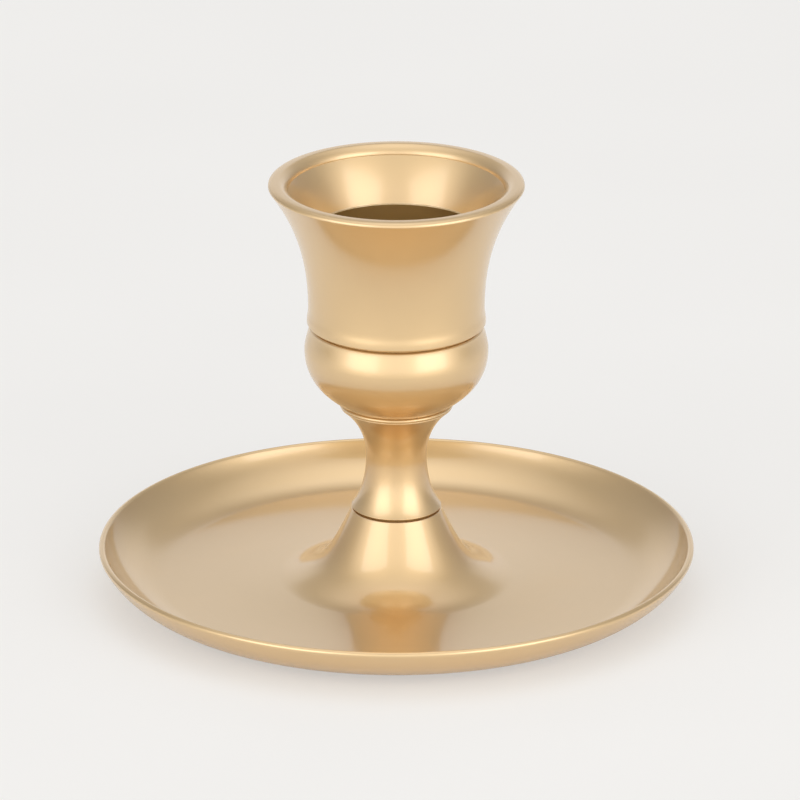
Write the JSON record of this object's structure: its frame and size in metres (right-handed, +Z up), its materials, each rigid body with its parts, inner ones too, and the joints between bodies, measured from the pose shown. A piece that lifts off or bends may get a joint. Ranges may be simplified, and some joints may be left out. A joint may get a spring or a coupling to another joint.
{
  "type": "candlestick",
  "caption": "Low candlestick: a flared cup on a knop and waisted neck over a round drip tray, in satin gold; the cup screws off its rod.",
  "frame": {"origin": "on the table surface, under the middle of the tray, at the bottom face of the felt pad", "axes": "+Z up along the axis that every turned piece shares; the part is round, so X and Y are free"},
  "size_m": [0.08, 0.08, 0.0579],
  "materials": {
    "gold_turned": "satin gold lacquer over fine turning marks",
    "gold_tray": "satin gold lacquer on a pressed tray",
    "zinc_steel": "bright zinc plate",
    "bush_brass": "plain turned brass",
    "fibre": "dark vulcanised fibre",
    "felt": "pressed black felt"
  },
  "bodies": {
    "stand": {"base_pad": "felt", "drip_tray": "gold_tray", "foot_washer": "zinc_steel", "spring_washer": "zinc_steel", "foot_nut": "zinc_steel", "tie_rod": "zinc_steel", "neck_washer": "fibre", "neck": "gold_turned", "knop": "gold_turned", "stem_nut": "zinc_steel", "seat_washer": "fibre"},
    "bush": {"threaded_bush": "bush_brass"},
    "cup": {"candle_cup": "gold_turned"}
  },
  "joints": [
    {"name": "cup_rise", "type": "slide", "parent": "stand", "child": "bush", "axis": [0, 0, 1], "range_m": [0, 0.0042]},
    {"name": "cup_turn", "type": "hinge", "parent": "bush", "child": "cup", "pos_m": [0, 0, 0.03807], "axis": [0, 0, 1], "range_deg": [0, 2160]}
  ],
  "couplings": [
    {"joint": "cup_rise", "follows": "cup_turn", "m_per_rad": 0.00011141}
  ]
}
